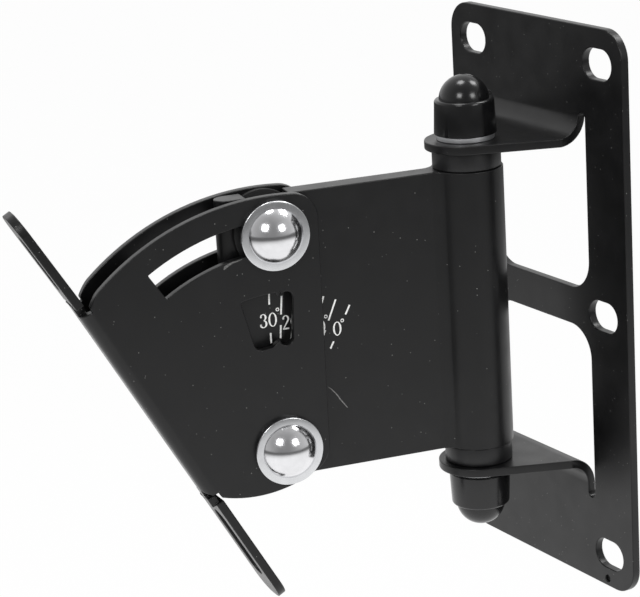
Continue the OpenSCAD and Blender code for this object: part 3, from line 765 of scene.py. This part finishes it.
class BRACKET_OT_scale(bpy.types.Operator):
    """Printed tilt scale on the arm: marks every five degrees, with figures"""
    bl_idname = "bracket.scale"
    bl_label = "Tilt scale"

    def execute(self, context):
        s = context.scene.bracket_scale
        arm_half = flat_thickness("arm") / 2
        strips = []
        for value, spans in MARK_SPANS.items():
            # The print leans a little off the true radius, more so towards the high figures.
            skew = 0.04 - 0.004 * value
            for radii in spans:
                r = np.array(radii)
                a = np.radians(MARK_ANGLES[value] + skew * (r - 45))
                ends = np.stack([np.sin(a), np.cos(a)], 1) * r[:, None]
                q = bar_points(ends[0], ends[1], s.line)
                strips.append(np.array([[q[0], q[3]], [q[1], q[2]]]))
        for text, (middle, ring) in FIGURES.items():
            advance = 0.60 * s.digit
            for i, ch in enumerate(text):
                left = np.array([(i - len(text) / 2) * advance - middle[0], middle[1] - s.digit / 2])
                for st in figure_strokes(ch):
                    # Forwards is to the left when the figures are read from the near side.
                    strips.append((st * s.digit + left) * np.array([-1, 1]))
            strips.append(oval(*ring, s.ring, s.ring, s.ring_line, s.ring_line, steps=24))
        mesh = flat_mesh("tilt_scale", strips, PIVOT + SIDE * (arm_half + 0.015 * MM))
        place(mesh, "tilt_scale", printed_ink("white pad print", s.ink), "swivel_arm")
        return {"FINISHED"}


# Paths in mm forwards and upwards from the pivot, each with its width in mm along the way.
SCRATCH = ((-17.1, 18.4), (-18.3, 17.4), (-20.0, 15.3), (-21.3, 13.2), (-22.7, 11.2), (-23.8, 9.7))
SCRATCH_WIDTHS = (0.15, 0.32, 0.36, 0.42, 0.38, 0.2)
WORN_RIM = ((18.3, 66.6), (17.7, 67.4), (16.4, 68.1), (15.1, 68.6), (13.7, 68.8), (11.8, 69.3))
WORN_WIDTHS = (0.3, 1.1, 0.8, 0.6, 0.45, 0.15)
# A strip of painted shade beside the figures, inside the cheek's window: its two long sides,
# forwards and upwards from the pivot.
PAINTED_SHADE_STRIP = (((-3.5, 57.4), (-9.5, 56.6)), ((-3.3, 47.0), (-9.0, 46.0)),
              ((-2.3, 34.6), (-8.0, 33.8)))


class BRACKET_OT_marks(bpy.types.Operator):
    """Scratch on the arm, worn rim at the arc slot and a strip of painted shade by the figures"""
    bl_idname = "bracket.marks"
    bl_label = "Signs of use and painted shade"

    def execute(self, context):
        arm_face = flat_thickness("arm") / 2
        # The near washer lies on the cheek's outer face.
        middle, under = ring_size("clamp_near_washer", SIDE)[:2]
        cheek_face = (middle - PIVOT) @ SIDE + under
        scratched = rubbed_coat_and_painted_shade("scratched coat", "#5c5c5b", "#828280", 0.6)
        worn = rubbed_coat_and_painted_shade("worn coat", "#454544", "#70706f", 0.4)
        # Painted shade: a near-black matt strip on the arm that stands in for the shade inside the
        # cheek's window.
        painted_shade = rubbed_coat_and_painted_shade("painted shade coat", "#020202", "#040404", 0.9)
        scratch = stroke(SCRATCH, SCRATCH_WIDTHS)
        rim = stroke(WORN_RIM, WORN_WIDTHS)
        for name, strip, face, mat, body, slot in (
                ("arm_scratch", scratch, arm_face, scratched, "swivel_arm", "coated_arm"),
                ("painted_shade_strip", np.array(PAINTED_SHADE_STRIP), arm_face, painted_shade, "swivel_arm", "coated_arm"),
                ("worn_rim", rim, cheek_face, worn, "tilt_head", "coated_head")):
            # A mark lies this far above its face, under the printed scale.
            mesh = flat_mesh(name, [strip], PIVOT + SIDE * (face + 0.008 * MM))
            place(mesh, name, mat, body)
        return {"FINISHED"}


# Stage

def turned_to(x, y, z, at):
    """Placement with the given directions for its own axes, at a point."""
    rows = [[x[i], y[i], z[i], at[i]] for i in range(3)]
    return Matrix([*rows, [0, 0, 0, 1]])


def area_light(name, at, target, size, power):
    """Square soft box that faces its target."""
    data = bpy.data.lights.new(name, "AREA")
    data.shape = "SQUARE"
    data.size = size
    data.energy = power
    obj = bpy.data.objects.new(name, data)
    bpy.context.scene.collection.objects.link(obj)
    d = np.array(target, float) - np.array(at, float)
    z = -d / np.linalg.norm(d)
    x = np.cross([0, 0, 1.0], z)
    x = x / np.linalg.norm(x)
    y = np.cross(z, x)
    obj.matrix_world = turned_to(x, y, z, at)


class BRACKET_OT_stage(bpy.types.Operator):
    """Camera, pale floor, white surround and soft boxes"""
    bl_idname = "bracket.stage"
    bl_label = "Stage"

    def execute(self, context):
        s = context.scene.bracket_stage
        az, el, roll = (math.radians(v) for v in (s.azimuth, s.elevation, s.roll))
        ahead = np.array([-math.sin(az) * math.cos(el), math.cos(az) * math.cos(el), -math.sin(el)])
        level = np.array([math.cos(az), math.sin(az), 0.0])
        top = np.cross(level, ahead)
        right = math.cos(roll) * level + math.sin(roll) * top
        up = -math.sin(roll) * level + math.cos(roll) * top
        cam = bpy.data.cameras.new("camera")
        cam.sensor_fit = "HORIZONTAL"
        cam.sensor_width = 36.0
        cam.lens = s.lens
        cam.clip_start = 0.01
        obj = bpy.data.objects.new("camera", cam)
        context.scene.collection.objects.link(obj)
        obj.matrix_world = turned_to(right, up, -ahead, s.camera_at)
        context.scene.camera = obj

        reach = np.linspace(-6.0, 6.0, 3)
        xx, yy = np.meshgrid(reach, reach, indexing="ij")
        mesh = grid_mesh("floor", np.stack([xx, yy, np.full_like(xx, s.floor_z)], -1))
        floor = bpy.data.objects.new("floor", mesh)
        context.scene.collection.objects.link(floor)
        mat, tree, shader = new_material("matt white floor",
                                         **{"Roughness": 0.9, "Specular IOR Level": 0.1})
        paper = node_in(tree, "ShaderNodeTexNoise", {"Scale": 1.0}, {"Vector": at_scale(tree, 400)})
        tone = node_in(tree, "ShaderNodeValToRGB", links={"Fac": paper.outputs["Fac"]},
                       stops=((0.3, hex_colour("#f4f4f4")), (0.7, hex_colour("#fafafa"))))
        tree.links.new(tone.outputs["Color"], shader.inputs["Base Color"])
        paths = node_in(tree, "ShaderNodeLightPath")
        # Shiny parts see painted light on the paper: a glow, bright near the bracket, that fades
        # towards the room.
        here = node_in(tree, "ShaderNodeNewGeometry")
        away = node_in(tree, "ShaderNodeVectorMath", operation="LENGTH",
                       links={0: here.outputs["Position"]})
        fade = node_in(tree, "ShaderNodeMapRange",
                       {"From Min": 0.50, "From Max": 1.42, "To Min": 1.12, "To Max": 0.12},
                       {"Value": away.outputs["Value"]}, interpolation_type="SMOOTHSTEP")
        lit = node_in(tree, "ShaderNodeEmission", {"Color": grey(1)},
                      {"Strength": fade.outputs["Result"]})
        white = node_in(tree, "ShaderNodeEmission", {"Color": grey(1), "Strength": 1.0})
        # The camera sees white paper, with a trace of the real one's shadow.
        seen = node_in(tree, "ShaderNodeMath", {1: 0.96}, {0: paths.outputs["Is Camera Ray"]},
                       operation="MULTIPLY")
        shiny = node_in(tree, "ShaderNodeMixShader", links={
            0: paths.outputs["Is Glossy Ray"], 1: shader.outputs[0], 2: lit.outputs[0]})
        mix = node_in(tree, "ShaderNodeMixShader", links={
            0: seen.outputs[0], 1: shiny.outputs[0], 2: white.outputs[0]})
        out = next(x for x in tree.nodes if x.type == "OUTPUT_MATERIAL")
        tree.links.new(mix.outputs[0], out.inputs[0])
        mesh.materials.append(mat)

        world = bpy.data.worlds.new("white surround")
        context.scene.world = world
        world.use_nodes = True
        tree = world.node_tree
        tree.nodes.clear()
        out = tree.nodes.new("ShaderNodeOutputWorld")
        paths = node_in(tree, "ShaderNodeLightPath")
        coord = node_in(tree, "ShaderNodeTexCoord")
        # Mirror-like surfaces see a white room that is darker on the photographer's side.
        toward = node_in(tree, "ShaderNodeVectorMath", {1: (0.80, -0.50, 0.33)},
                         {0: coord.outputs["Generated"]}, operation="DOT_PRODUCT")
        room = node_in(tree, "ShaderNodeMapRange",
                       {"From Min": -0.6, "From Max": 0.95, "To Min": 1.0, "To Max": 0.28},
                       {"Value": toward.outputs["Value"]})
        seen = node_in(tree, "ShaderNodeBackground", {"Color": grey(1), "Strength": 1.0})
        light = node_in(tree, "ShaderNodeBackground", {"Color": grey(1), "Strength": 0.55})
        mirror = node_in(tree, "ShaderNodeBackground", {"Color": grey(1)},
                         {"Strength": room.outputs["Result"]})
        first = node_in(tree, "ShaderNodeMixShader", links={
            0: paths.outputs["Is Glossy Ray"], 1: light.outputs[0], 2: mirror.outputs[0]})
        last = node_in(tree, "ShaderNodeMixShader", links={
            0: paths.outputs["Is Camera Ray"], 1: first.outputs[0], 2: seen.outputs[0]})
        tree.links.new(last.outputs[0], out.inputs[0])

        middle = (-0.01, -0.07, 0.0)
        for name, at, power in (("soft box above", (-0.16, -0.09, 0.98), 2.6),
                                ("soft box above right", (0.08, 0.51, 0.86), 2.6),
                                ("soft box left", (0.47, -0.72, 0.52), 2.2),
                                ("soft box right", (0.88, 0.12, 0.45), 2.2)):
            area_light(name, at, middle, 0.3, power)
        context.scene.view_settings.view_transform = "Standard"
        return {"FINISHED"}


class BRACKET_PT_panel(bpy.types.Panel):
    """Lists the steps that dress the bracket"""
    bl_idname = "BRACKET_PT_panel"
    bl_label = "Speaker wall bracket"
    bl_space_type = "VIEW_3D"
    bl_region_type = "UI"
    bl_category = "Bracket"

    def draw(self, context):
        for group in GROUPS:
            box = self.layout.box()
            data = getattr(context.scene, group)
            for prop in data.__annotations__:
                box.prop(data, prop)
        for op in OPERATORS:
            self.layout.operator(op.bl_idname)


GROUPS = {
    "bracket_coat": BracketCoat, "bracket_hardware": BracketHardware,
    "bracket_plastic": BracketPlastic, "bracket_scale": BracketScale, "bracket_stage": BracketStage,
}
OPERATORS = (
    BRACKET_OT_sheets, BRACKET_OT_caps, BRACKET_OT_bushes, BRACKET_OT_bolts, BRACKET_OT_washers,
    BRACKET_OT_nuts, BRACKET_OT_scale, BRACKET_OT_marks, BRACKET_OT_stage,
)


def register():
    for group, cls in GROUPS.items():
        bpy.utils.register_class(cls)
        setattr(bpy.types.Scene, group, bpy.props.PointerProperty(type=cls))
    for cls in (*OPERATORS, BRACKET_PT_panel):
        bpy.utils.register_class(cls)


def unregister():
    for cls in (BRACKET_PT_panel, *reversed(OPERATORS)):
        bpy.utils.unregister_class(cls)
    for group, cls in reversed(list(GROUPS.items())):
        delattr(bpy.types.Scene, group)
        bpy.utils.unregister_class(cls)


def main():
    register()
    for op in OPERATORS:
        area, name = op.bl_idname.split(".")
        getattr(getattr(bpy.ops, area), name)()


if __name__ == "__main__":
    main()
